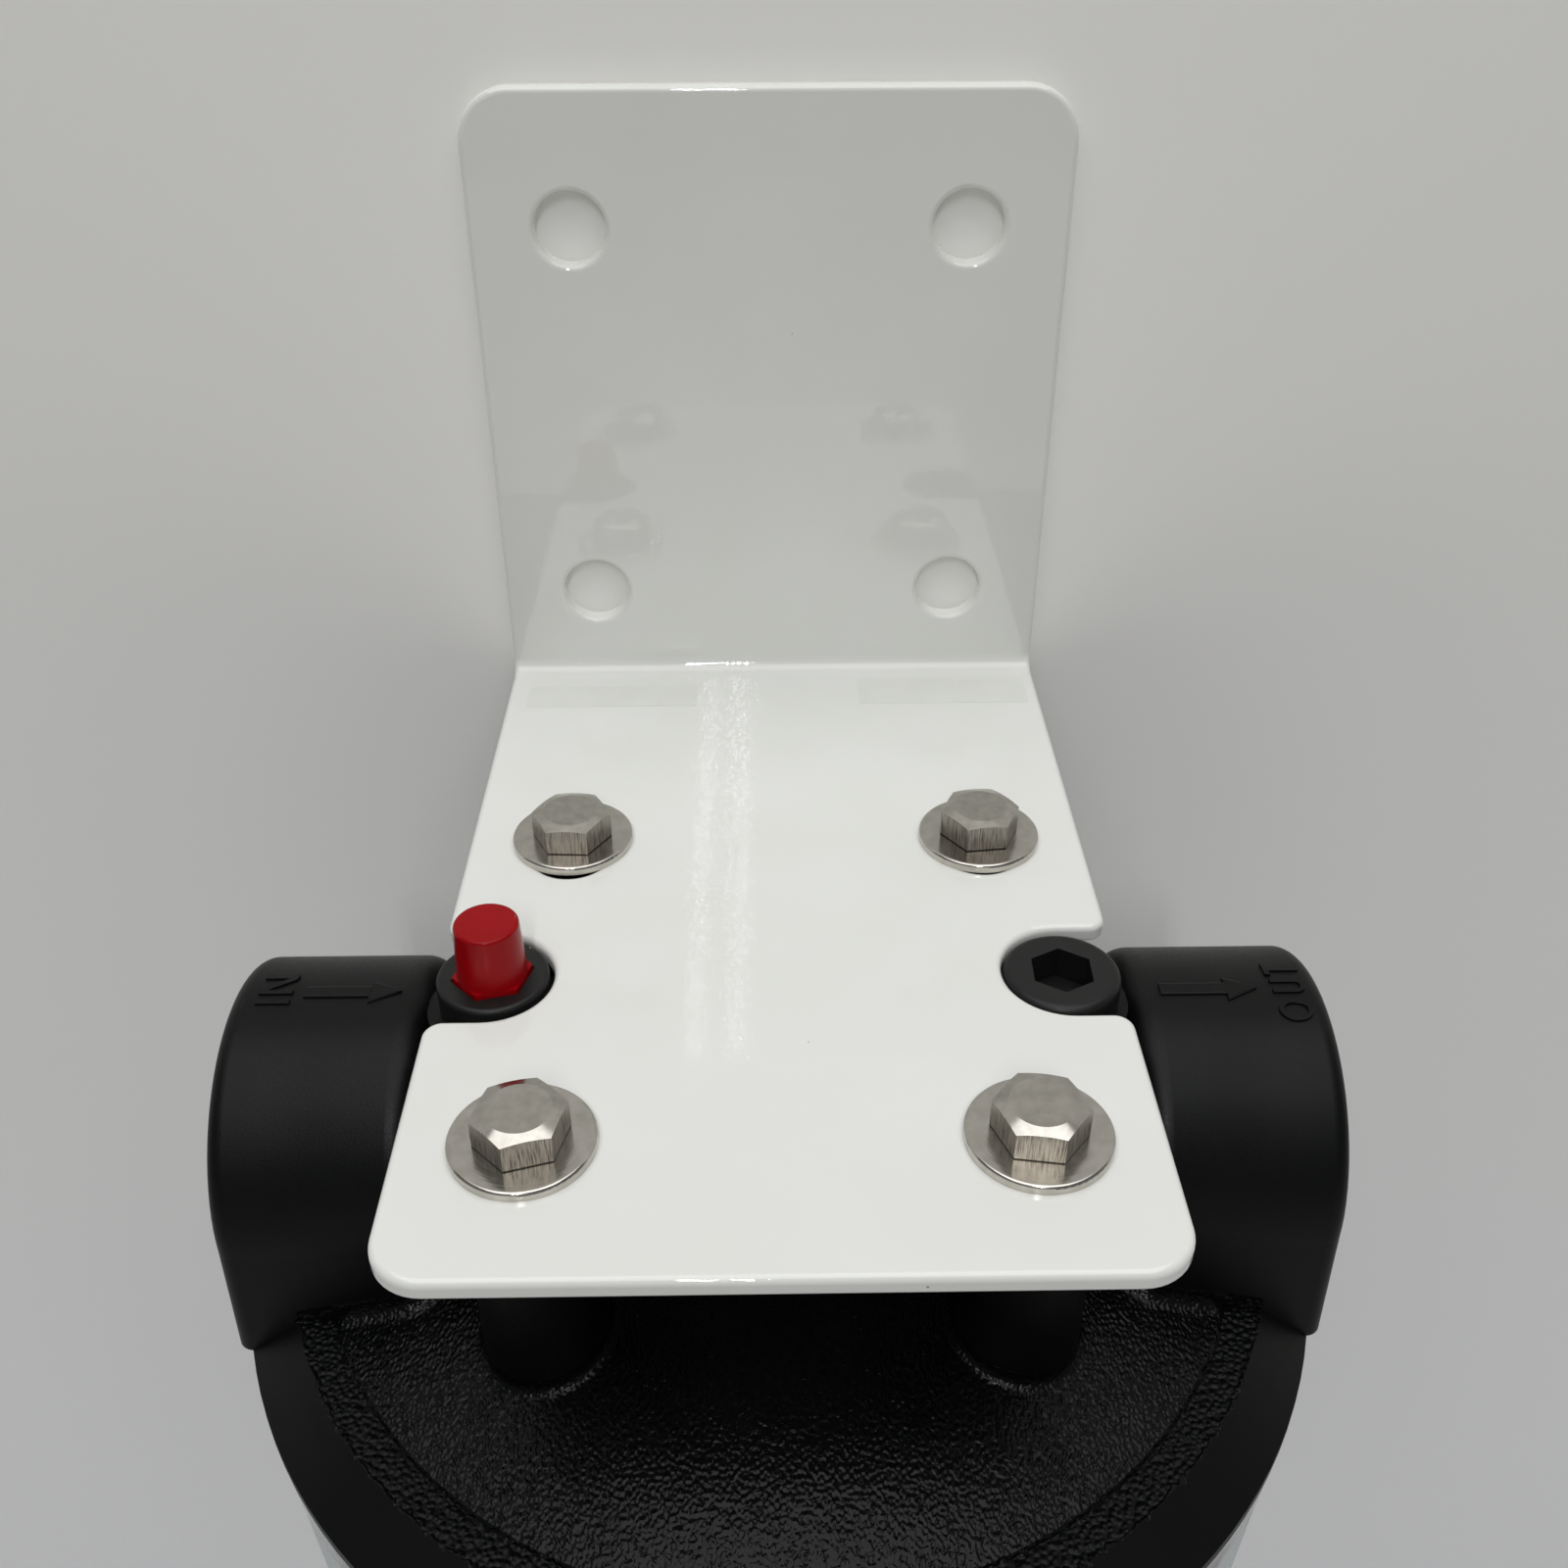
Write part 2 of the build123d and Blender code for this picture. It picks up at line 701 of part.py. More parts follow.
def relief_stem():
    top_z = poppet_top_z()
    stem = rod(stem_r, top_z - poppet_thickness, button_foot_z + stem_grip - seat_gap)
    stem += rod(poppet_r, top_z - poppet_thickness, top_z)
    return Pos(-gauge_offset, head_y, 0) * stem


def relief_seal():
    seal = tube(poppet_r, stem_r + seat_gap, poppet_top_z(), neck_end_z - seat_gap)
    return Pos(-gauge_offset, head_y, 0) * seal


def relief_spring():
    low = chamber_floor_z + spring_wire / 2 + seat_gap
    high = button_foot_z - spring_wire / 2 - seat_gap
    coil = Helix((high - low) / spring_turns, high - low, spring_r)
    section = Plane(origin=coil @ 0, z_dir=coil % 0) * Circle(spring_wire / 2)
    wire = sweep(section, coil, is_frenet=True)
    return Pos(-gauge_offset, head_y, low) * wire


def gauge_plug():
    top_z = shelf_top - plug_top_drop
    plug = rod(plug_r, gauge_boss_z, top_z)
    lip = plug.edges().filter_by(GeomType.CIRCLE).sort_by(Axis.Z)[-1]
    plug = fillet(lip, plug_edge_r)
    plug += rod(shank_r, shank_end_z, gauge_boss_z)
    plug -= hex_rod(plug_socket_flats, top_z - plug_socket_depth, top_z + over, plug_turn)
    return Pos(gauge_offset, head_y, 0) * plug


def port_o_ring(side):
    z = gauge_boss_z - port_ring_wire / 2 - ring_groove_gap / 2
    return Pos(side * gauge_offset, head_y, 0) * ring(port_ring_r, port_ring_wire, z)


os.makedirs("parts", exist_ok=True)
save("bracket", bracket())
save("bracket_bolts", bracket_bolts())
save("bolt_washers", bolt_washers())
save("boss_inserts", boss_inserts())
save("head", head())
save("relief_valve_body", valve_body())
save("relief_button", relief_button())
save("relief_stem", relief_stem())
save("relief_seal", relief_seal())
save("relief_spring", relief_spring())
save("relief_valve_o_ring", port_o_ring(-1))
save("gauge_port_plug", gauge_plug())
save("gauge_plug_o_ring", port_o_ring(1))
save("sump", sump())
save("sump_o_ring", sump_o_ring())
save("cartridge_top_cap", end_cap(cap_top_z, -1))
save("cartridge_bottom_cap", end_cap(cap_bottom_z, 1))
save("cartridge_top_gasket", cartridge_gasket(cartridge_top_z, -1))
save("cartridge_bottom_gasket", cartridge_gasket(cartridge_bottom_z, 1))
save("cartridge_pleats", cartridge_pleats())
save("cartridge_core", cartridge_core())
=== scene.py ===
import math

import bmesh
import bpy
from mathutils import Matrix, Vector


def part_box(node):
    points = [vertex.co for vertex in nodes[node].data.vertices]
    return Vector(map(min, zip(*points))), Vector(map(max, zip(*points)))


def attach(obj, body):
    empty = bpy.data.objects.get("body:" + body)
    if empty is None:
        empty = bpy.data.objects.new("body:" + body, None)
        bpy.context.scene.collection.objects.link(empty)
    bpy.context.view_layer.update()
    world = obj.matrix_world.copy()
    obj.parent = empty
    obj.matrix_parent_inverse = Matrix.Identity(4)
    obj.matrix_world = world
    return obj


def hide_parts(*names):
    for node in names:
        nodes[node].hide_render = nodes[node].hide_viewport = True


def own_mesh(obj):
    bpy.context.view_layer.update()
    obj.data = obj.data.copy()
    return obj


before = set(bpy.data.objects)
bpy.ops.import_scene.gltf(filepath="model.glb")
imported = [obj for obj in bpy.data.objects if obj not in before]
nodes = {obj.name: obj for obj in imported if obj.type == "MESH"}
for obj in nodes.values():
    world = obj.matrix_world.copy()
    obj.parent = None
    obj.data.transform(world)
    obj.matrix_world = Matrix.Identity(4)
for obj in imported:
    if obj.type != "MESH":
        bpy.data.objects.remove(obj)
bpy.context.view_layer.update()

mm = 0.001
scene = bpy.context.scene
headY = -106.8 * mm           # the axis of head, sump and cartridge
shelfZ = -57.0 * mm           # top face of the shelf
noiseLow, noiseHigh = 0.3, 0.7        # most of a noise pattern lies between these values
cloudLow = 0.35                       # and a cloud of the second tone begins here


def linear(hexColour):
    # sRGB hex to the linear values that a shader wants
    values = [int(hexColour[i:i + 2], 16) / 255 for i in (1, 3, 5)]
    return [v / 12.92 if v <= 0.04045 else ((v + 0.055) / 1.055) ** 2.4 for v in values] + [1.0]


def addNode(tree, kind, settings=None, links=None):
    # a setting goes to the socket of that name or number, else to the node itself; links feed sockets
    node = tree.nodes.new("ShaderNode" + kind)
    for key, value in (settings or {}).items():
        if isinstance(key, int) or key in node.inputs:
            node.inputs[key].default_value = value
        else:
            setattr(node, key, value)
    for key, source in (links or {}).items():
        tree.links.new(source, node.inputs[key])
    return node


def startMaterial(name, settings):
    material = bpy.data.materials.new(name)
    material.use_nodes = True
    tree = material.node_tree
    shader = tree.nodes["Principled BSDF"]
    for key, value in settings.items():
        shader.inputs[key].default_value = value
    place = addNode(tree, "TexCoord").outputs["Object"]
    return material, tree, shader, place


def cloudColour(tree, shader, place, s):
    # soft clouds of a second tone, as resin, rubber and baked paint have
    cloud = addNode(tree, "TexNoise", {"Scale": 1 / (s["cloudMm"] * mm), "Detail": 3.0}, {"Vector": place})
    share = addNode(tree, "MapRange", {"From Min": cloudLow, "From Max": noiseHigh},
                    {"Value": cloud.outputs["Fac"]})
    mixed = addNode(tree, "Mix", {"data_type": "RGBA", 6: linear(s["colour"]), 7: linear(s["cloudColour"])},
                    {0: share.outputs[0]}).outputs[2]
    tree.links.new(mixed, shader.inputs["Base Color"])
    return mixed


def fineSurface(tree, shader, place, s, under=None):
    # one fine grain that lifts the surface and changes its gloss by the same pattern
    grain = addNode(tree, "TexNoise", {"Scale": 1 / (s["grainMm"] * mm), "Detail": 2.0}, {"Vector": place})
    gloss = addNode(tree, "MapRange", {"From Min": noiseLow, "From Max": noiseHigh,
                                       "To Min": s["roughness"] - s["glossSpread"],
                                       "To Max": s["roughness"] + s["glossSpread"]},
                    {"Value": grain.outputs["Fac"]})
    tree.links.new(gloss.outputs[0], shader.inputs["Roughness"])
    links = {"Height": grain.outputs["Fac"]}
    if under:
        links["Normal"] = under
    lifted = addNode(tree, "Bump", {"Distance": s["grainDepth"] * mm}, links).outputs["Normal"]
    tree.links.new(lifted, shader.inputs["Normal"])


def distanceFromAxis(tree, place, x, y):
    # how far a point lies from an upright axis, in metres
    moved = addNode(tree, "VectorMath", {"operation": "SUBTRACT", 1: (x, y, 0)}, {0: place}).outputs[0]
    flat = addNode(tree, "VectorMath", {"operation": "MULTIPLY", 1: (1, 1, 0)}, {0: moved}).outputs[0]
    return addNode(tree, "VectorMath", {"operation": "LENGTH"}, {0: flat}).outputs["Value"]


def meshPiece(name, vertices, faces, material, body, smooth=True):
    mesh = bpy.data.meshes.new(name)
    mesh.from_pydata(vertices, [], faces)
    mesh.materials.append(material)
    piece = bpy.data.objects.new(name, mesh)
    scene.collection.objects.link(piece)
    tidy = bmesh.new()
    tidy.from_mesh(mesh)
    bmesh.ops.remove_doubles(tidy, verts=tidy.verts, dist=1e-7)
    bmesh.ops.recalc_face_normals(tidy, faces=tidy.faces)
    tidy.to_mesh(mesh)
    tidy.free()
    for face in mesh.polygons:
        face.use_smooth = smooth
    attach(piece, body)
    return piece


def dress(material, *names):
    for name in names:
        slots = nodes[name].data.materials
        slots.clear()
        slots.append(material)


cameraSettings = {
    "place": (-1.49, -307.09, 113.82),      # mm
    "pitch": 33.614, "yaw": -0.7304, "roll": -0.174,      # degrees
    "lens": 35.91, "sensor": 36.0,
}


def placeCamera(s):
    pitch, yaw, roll = (math.radians(s[k]) for k in ("pitch", "yaw", "roll"))
    turn = Matrix.Rotation(yaw, 3, "Z")
    ahead = turn @ Vector((0, math.cos(pitch), -math.sin(pitch)))
    right = turn @ Vector((1, 0, 0))
    up = right.cross(ahead)
    right, up = (math.cos(roll) * right + math.sin(roll) * up,
                 math.cos(roll) * up - math.sin(roll) * right)
    data = bpy.data.cameras.new("camera")
    data.lens = s["lens"]
    data.sensor_width = s["sensor"]
    data.clip_start = 0.01
    camera = bpy.data.objects.new("camera", data)
    scene.collection.objects.link(camera)
    axes = Matrix((right, up, -ahead)).transposed().to_4x4()
    camera.matrix_world = Matrix.Translation(Vector(s["place"]) * mm) @ axes
    scene.camera = camera


placeCamera(cameraSettings)
print("camera placed")


# pale floor, white wall behind the bracket, a wide soft ceiling light, two bare tubes, a fill for the back
studio = {
    "size": 6000.0, "floorZ": -600.0,
    "paint": {"Roughness": 0.8, "Specular IOR Level": 0.2},
    "floor": {"colour": "#b9b9b7", "cloudColour": "#b4b4b2", "cloudMm": 60.0},
    "wallY": 1.0, "wallTopZ": 400.0, "wallMiddleZ": -20.0, "wallLowZ": -400.0,
    "wallColour": "#f6f5f2", "wallPaintedLightColour": "#fbfbfd",
    "skyColour": "#f0f1f2", "skyLight": 0.19,
    "lamps": (
        # name, place and aim in mm, width and length in mm, watts, whether glossy pieces mirror it
        ("ceilingLight", (0, -420, 2000), (0, -150, 0), 2600, 2600, 36.5, True),
        ("tubeLeft", (-115, -2020, 1400), (-115, -2020, 0), 16, 1220, 8.0, True),
        ("tubeRight", (-52, -2020, 1400), (-52, -2020, 0), 16, 1220, 8.0, True),
        # soft light for the back, low enough to leave the top of the shelf alone
        ("backFill", (0, 1400, -420), (0, 0, -150), 1400, 560, 5.0, False),
    ),
}


def stagePlane(name, corners, material):
    mesh = bpy.data.meshes.new(name)
    mesh.from_pydata([Vector(c) * mm for c in corners], [], [(0, 1, 2, 3)])
    mesh.materials.append(material)
    plane = bpy.data.objects.new(name, mesh)
    scene.collection.objects.link(plane)


def makeFloorPaint(s):
    # matt floor paint: an even pale grey with hardly any gloss
    material, tree, shader, place = startMaterial("mattFloorPaint", s["paint"])
    cloudColour(tree, shader, place, s["floor"])
    return material


def makeWallPaint(s):
    # matt emulsion: white, with painted light that makes it a little whiter low down; solid from the front
    # only, and it lets lamp light through, so that the back of the bracket can be seen and is lit
    material, tree, shader, place = startMaterial("mattWallPaint", s["paint"])
    # painted light: the colour grows whiter from the middle of the wall down to its low edge
    height = addNode(tree, "SeparateXYZ", links={0: place}).outputs["Z"]
    share = addNode(tree, "MapRange", {"From Min": s["wallMiddleZ"] * mm, "From Max": s["wallLowZ"] * mm},
                    {"Value": height})
    mixed = addNode(tree, "Mix", {"data_type": "RGBA", 6: linear(s["wallColour"]),
                                  7: linear(s["wallPaintedLightColour"])}, {0: share.outputs[0]})
    tree.links.new(mixed.outputs[2], shader.inputs["Base Color"])
    behind = addNode(tree, "NewGeometry").outputs["Backfacing"]
    shadow = addNode(tree, "LightPath").outputs["Is Shadow Ray"]
    either = addNode(tree, "Math", {"operation": "MAXIMUM"}, {0: behind, 1: shadow})
    clear = addNode(tree, "BsdfTransparent")
    surface = addNode(tree, "MixShader",
                      links={0: either.outputs[0], 1: shader.outputs[0], 2: clear.outputs[0]})
    tree.links.new(surface.outputs[0], tree.nodes["Material Output"].inputs["Surface"])
    return material


def addLamp(name, place, aim, width, length, watts, inGloss):
    data = bpy.data.lights.new(name, "AREA")
    data.shape = "RECTANGLE"
    data.size = width * mm
    data.size_y = length * mm
    data.energy = watts
    lamp = bpy.data.objects.new(name, data)
    scene.collection.objects.link(lamp)
    lamp.location = Vector(place) * mm
    lamp.rotation_mode = "QUATERNION"
    lamp.rotation_quaternion = (Vector(aim) - Vector(place)).to_track_quat("-Z", "Y")
    lamp.visible_glossy = inGloss
    lamp.visible_transmission = inGloss


def buildStudio(s):
    h = s["size"] / 2
    z = s["floorZ"]
    y = s["wallY"]
    stagePlane("floor", ((-h, -h, z), (h, -h, z), (h, h, z), (-h, h, z)), makeFloorPaint(s))
    top = s["wallTopZ"]
    stagePlane("wall", ((-h, y, z), (h, y, z), (h, y, top), (-h, y, top)), makeWallPaint(s))
    for lamp in s["lamps"]:
        addLamp(*lamp)
    world = bpy.data.worlds.new("softRoom")
    world.use_nodes = True
    background = world.node_tree.nodes["Background"]
    background.inputs["Color"].default_value = linear(s["skyColour"])
    background.inputs["Strength"].default_value = s["skyLight"]
    scene.world = world
    scene.view_settings.view_transform = "Standard"


buildStudio(studio)
print("studio built")


powderCoat = {
    "colour": "#e9eae6", "cloudColour": "#e6e7e2", "cloudMm": 30.0, "roughness": 0.025, "specular": 0.75,
    "peelMm": 1.5, "peelDepth": 0.011, "waveMm": 9.0, "waveDepth": 0.012,
    "speckColour": "#8c8a84", "speckMm": 16.0, "speckSize": 0.32, "speckCore": 0.6,
}


def makePowderCoat(s):
    # polyester powder coat, sprayed on folded steel and baked: gloss white with a faint orange peel, so
    # that lamps break up in it; a few specks of dust lie under the film
    material, tree, shader, place = startMaterial("bakedPowderCoat", {
        "Roughness": s["roughness"], "Specular IOR Level": s["specular"],
    })
    cloud = cloudColour(tree, shader, place, s)
    cells = addNode(tree, "TexVoronoi", {"Scale": 1 / (s["speckMm"] * mm)}, {"Vector": place})
    size = s["speckSize"] / s["speckMm"]
    speck = addNode(tree, "MapRange", {"From Min": size * s["speckCore"], "From Max": size,
                                       "To Min": 1.0, "To Max": 0.0}, {"Value": cells.outputs["Distance"]})
    mixed = addNode(tree, "Mix", {"data_type": "RGBA", 7: linear(s["speckColour"])},
                    {0: speck.outputs[0], 6: cloud})
    tree.links.new(mixed.outputs[2], shader.inputs["Base Color"])
    peel = addNode(tree, "TexNoise", {"Scale": 1 / (s["peelMm"] * mm), "Detail": 1.0}, {"Vector": place})
    wave = addNode(tree, "TexNoise", {"Scale": 1 / (s["waveMm"] * mm), "Detail": 0.0}, {"Vector": place})
    low = addNode(tree, "Bump", {"Distance": s["waveDepth"] * mm}, {"Height": wave.outputs["Fac"]})
    top = addNode(tree, "Bump", {"Distance": s["peelDepth"] * mm},
                  {"Height": peel.outputs["Fac"], "Normal": low.outputs["Normal"]})
    tree.links.new(top.outputs["Normal"], shader.inputs["Normal"])
    return material


dress(makePowderCoat(powderCoat), "bracket")
print("bracket coated")


boltSteel = {
    "colour": "#c8c4bc", "cloudColour": "#b6b2aa", "cloudMm": 2.0, "topRoughness": 0.16,
    # upright share of the normal at which a top turns into a side
    "sideFrom": 0.5, "sideTo": 0.2, "shadedSideColour": "#a39e95", "sideRoughness": 0.4,
    "scoreColour": "#5c5650", "scoreFrom": 0.45, "scoreMm": 0.22, "scoreDepth": 0.04,
    "scoreSquash": 0.06, "scoreGloss": 0.12, "footShadeColour": "#26231f", "footLow": 0.12, "footHigh": 0.3,
}
washerSteel = {
    "colour": "#cdc9c2", "cloudColour": "#bcb8b0", "cloudMm": 2.5, "smoothest": 0.13, "roughest": 0.25,
    "turnMm": 0.35, "turnDepth": 0.004, "pitch": 75.8,
}


def makeBoltSteel(s):
    # zinc plated steel, cold headed and trimmed to a hexagon: warm grey, smooth on top, rougher on its
    # sides, with upright scores that smear what they mirror; painted shade darkens the sides and the line at
    # the washer
    material, tree, shader, place = startMaterial("coldHeadedSteel", {"Metallic": 1.0})
    cloud = cloudColour(tree, shader, place, s)
    facing = addNode(tree, "NewGeometry").outputs["Normal"]
    upward = addNode(tree, "SeparateXYZ", links={0: facing}).outputs["Z"]
    side = addNode(tree, "MapRange", {"From Min": s["sideFrom"], "From Max": s["sideTo"]},
                   {"Value": upward}).outputs[0]
    stretched = addNode(tree, "Mapping", {"Scale": (1, 1, s["scoreSquash"])}, {"Vector": place})
    scores = addNode(tree, "TexNoise", {"Scale": 1 / (s["scoreMm"] * mm), "Detail": 3.0},
                     {"Vector": stretched.outputs[0]})
    depth = addNode(tree, "Math", {"operation": "MULTIPLY"}, {0: scores.outputs["Fac"], 1: side})
    scored = addNode(tree, "MapRange", {"From Min": s["scoreFrom"], "From Max": noiseHigh},
                     {"Value": scores.outputs["Fac"]}).outputs[0]
    # painted shade: the sides take a darker colour than the top, and the scores on them are darker still
    flat = addNode(tree, "Mix", {"data_type": "RGBA", 6: linear(s["shadedSideColour"]),
                                 7: linear(s["scoreColour"])}, {0: scored}).outputs[2]
    mixed = addNode(tree, "Mix", {"data_type": "RGBA"}, {0: side, 6: cloud, 7: flat}).outputs[2]
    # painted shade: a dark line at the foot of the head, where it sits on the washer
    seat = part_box("bolt_washers")[1][2]
    level = addNode(tree, "SeparateXYZ", links={0: place}).outputs["Z"]
    footShade = addNode(tree, "MapRange", {"From Min": seat + s["footLow"] * mm,
                                      "From Max": seat + s["footHigh"] * mm,
                                      "To Min": 1.0, "To Max": 0.0}, {"Value": level}).outputs[0]
    mixed = addNode(tree, "Mix", {"data_type": "RGBA", 7: linear(s["footShadeColour"])},
                    {0: footShade, 6: mixed}).outputs[2]
    tree.links.new(mixed, shader.inputs["Base Color"])
    gloss = addNode(tree, "MapRange", {"To Min": s["topRoughness"], "To Max": s["sideRoughness"]},
                    {"Value": side})
    patchy = addNode(tree, "Math", {"operation": "MULTIPLY_ADD", 1: s["scoreGloss"],
                                    2: -s["scoreGloss"] / 2}, {0: scores.outputs["Fac"]})
    rough = addNode(tree, "Math", {"operation": "ADD"}, {0: gloss.outputs[0], 1: patchy.outputs[0]})
    tree.links.new(rough.outputs[0], shader.inputs["Roughness"])
    lifted = addNode(tree, "Bump", {"Distance": s["scoreDepth"] * mm}, {"Height": depth.outputs[0]})
    tree.links.new(lifted.outputs["Normal"], shader.inputs["Normal"])
    return material


def makeWasherSteel(s):
    # zinc plated steel, stamped and tumbled: nearly a mirror, with faint rings round its hole
    material, tree, shader, place = startMaterial("stampedSteel", {"Metallic": 1.0})
    cloudColour(tree, shader, place, s)
    # the four washers mirror one another, so one quarter of the plan stands for all of them
    centred = addNode(tree, "VectorMath", {"operation": "SUBTRACT", 1: (0, headY, 0)}, {0: place})
    folded = addNode(tree, "VectorMath", {"operation": "ABSOLUTE"}, {0: centred.outputs[0]})
    half = s["pitch"] / 2 * mm
    radius = distanceFromAxis(tree, folded.outputs[0], half, half)
    rings = addNode(tree, "TexNoise", {"noise_dimensions": "1D", "Scale": 1 / (s["turnMm"] * mm),
                                       "Detail": 2.0}, {"W": radius}).outputs["Fac"]
    gloss = addNode(tree, "MapRange", {"From Min": noiseLow, "From Max": noiseHigh, "To Min": s["smoothest"],
                                       "To Max": s["roughest"]}, {"Value": rings})
    tree.links.new(gloss.outputs[0], shader.inputs["Roughness"])
    lifted = addNode(tree, "Bump", {"Distance": s["turnDepth"] * mm}, {"Height": rings})
    tree.links.new(lifted.outputs["Normal"], shader.inputs["Normal"])
    return material


dress(makeBoltSteel(boltSteel), "bracket_bolts")
dress(makeWasherSteel(washerSteel), "bolt_washers")
print("bolts and washers dressed")


headPlastic = {
    "colour": "#030404", "cloudColour": "#060706", "cloudMm": 14.0, "ringShadeColour": "#010202", "specular": 0.2,
    "bossRoughness": 0.4, "bossSpread": 0.05,
    "crownRoughness": 0.2, "ringRoughness": 0.45, "flankRoughness": 0.42,
    # leather grain of the crown: low swellings, and here and there a thin winding crease
    "swellMm": 0.56, "swellDepth": 0.225, "drawn": 0.66,
    "leatherMm": 1.0, "creaseWidth": 0.028, "creaseDepth": 0.09,
    "breakMm": 1.5, "breakFrom": 0.45, "breakTo": 0.55,
    # round knobs of the ring, and the fine grain that lies over all
    "knobMm": 0.95, "knobDepth": 0.5, "fibreMm": 0.4, "fibreDepth": 0.02,
    # how far the edges of the grain stray, and how softly they end
    "strayMm": 1.5, "stray": 2.4, "edgeFade": 0.4,
    # radii and levels of the moulding, in mm
    "ringInnerR": 80.8, "ringOuterR": 86.5, "crownTop": -96.2, "domeR": 351.3,
    "grainRise": 2.6, "grainDrop": 1.2, "portAxisZ": -91.4, "portR": 29.9,
    # slope that the crown's mirror image has beyond that of the solid, per mm, and where it eases off
    "fallOff": 0.00077, "easeMm": 7.0,
}


def makeHeadPlastic(s):
    # reinforced polypropylene, moulded in an etched tool: satin black, with a leather grain on the crown,
    # a dull knobbly ring round it, and a fine grain on the bosses and the flank
    material, tree, shader, place = startMaterial("grainedPolypropylene", {
        "Specular IOR Level": s["specular"],
    })
    clean = distanceFromAxis(tree, place, 0.0, headY)
    # the crown mirrors as if it fell off a little faster than the solid does, by a few degrees at its edge
    inner = addNode(tree, "Math", {"operation": "SMOOTH_MIN", 1: s["ringInnerR"] * mm, 2: s["easeMm"] * mm},
                    {0: clean}).outputs[0]
    bulge = addNode(tree, "Math", {"operation": "MULTIPLY"}, {0: inner, 1: inner}).outputs[0]
    bulge = addNode(tree, "Math", {"operation": "MULTIPLY", 1: -0.5 * s["fallOff"] / (mm * mm)},
                    {0: bulge}).outputs[0]
    # the parts of the moulding are told apart by radius and level, along slightly ragged edges
    ragged = addNode(tree, "TexNoise", {"Scale": 1 / (s["strayMm"] * mm), "Detail": 1.0},
                     {"Vector": place}).outputs["Fac"]
    edge = addNode(tree, "Math", {"operation": "MULTIPLY_ADD", 1: s["stray"] * mm, 2: -s["stray"] / 2 * mm},
                   {0: ragged})
    radius = addNode(tree, "Math", {"operation": "ADD"}, {0: clean, 1: edge.outputs[0]}).outputs[0]
    # height above the shallow dome of the crown, so that the grain climbs the fillets but not the bosses
    square = addNode(tree, "Math", {"operation": "MULTIPLY"}, {0: radius, 1: radius}).outputs[0]
    sag = addNode(tree, "Math", {"operation": "MULTIPLY_ADD", 1: 0.5 / (s["domeR"] * mm),
                                 2: -s["crownTop"] * mm}, {0: square}).outputs[0]
    level = addNode(tree, "SeparateXYZ", links={0: place}).outputs["Z"]
    height = addNode(tree, "Math", {"operation": "ADD"}, {0: sag, 1: level}).outputs[0]
    fade = s["edgeFade"]
    below = addNode(tree, "MapRange", {"From Min": s["grainRise"] * mm,
                                       "From Max": (s["grainRise"] + 2 * fade) * mm,
                                       "To Min": 1.0, "To Max": 0.0}, {"Value": height}).outputs[0]
    above = addNode(tree, "MapRange", {"From Min": -s["grainDrop"] * mm,
                                       "From Max": (fade - s["grainDrop"]) * mm},
                    {"Value": height}).outputs[0]
    onTop = addNode(tree, "Math", {"operation": "MULTIPLY"}, {0: below, 1: above}).outputs[0]
    inside = addNode(tree, "MapRange", {"From Min": (s["ringInnerR"] - fade / 2) * mm,
                                        "From Max": (s["ringInnerR"] + fade / 2) * mm,
                                        "To Min": 1.0, "To Max": 0.0}, {"Value": radius}).outputs[0]
    within = addNode(tree, "MapRange", {"From Min": (s["ringOuterR"] - fade) * mm,
                                        "From Max": s["ringOuterR"] * mm,
                                        "To Min": 1.0, "To Max": 0.0}, {"Value": radius}).outputs[0]
    crownPart = addNode(tree, "Math", {"operation": "MULTIPLY"}, {0: inside, 1: onTop}).outputs[0]
    band = addNode(tree, "Math", {"operation": "SUBTRACT"}, {0: within, 1: inside}).outputs[0]
    ringPart = addNode(tree, "Math", {"operation": "MULTIPLY"}, {0: band, 1: onTop}).outputs[0]
    flankPart = addNode(tree, "Math", {"operation": "SUBTRACT", 0: 1.0}, {1: within}).outputs[0]
    # the grain is drawn out a little from the wall to the front
    along = addNode(tree, "VectorMath", {"operation": "MULTIPLY", 1: (1, s["drawn"], 1)},
                    {0: place}).outputs[0]
    # creases follow the middle value of a noise
    winding = addNode(tree, "TexNoise", {"Scale": 1 / (s["leatherMm"] * mm), "Detail": 1.0,
                                         "Distortion": 0.6}, {"Vector": along}).outputs["Fac"]
    offMiddle = addNode(tree, "Math", {"operation": "SUBTRACT", 1: 0.5}, {0: winding}).outputs[0]
    offMiddle = addNode(tree, "Math", {"operation": "ABSOLUTE"}, {0: offMiddle}).outputs[0]
    crease = addNode(tree, "MapRange", {"interpolation_type": "SMOOTHSTEP", "From Max": s["creaseWidth"],
                                        "To Min": -s["creaseDepth"], "To Max": 0.0},
                     {"Value": offMiddle}).outputs[0]
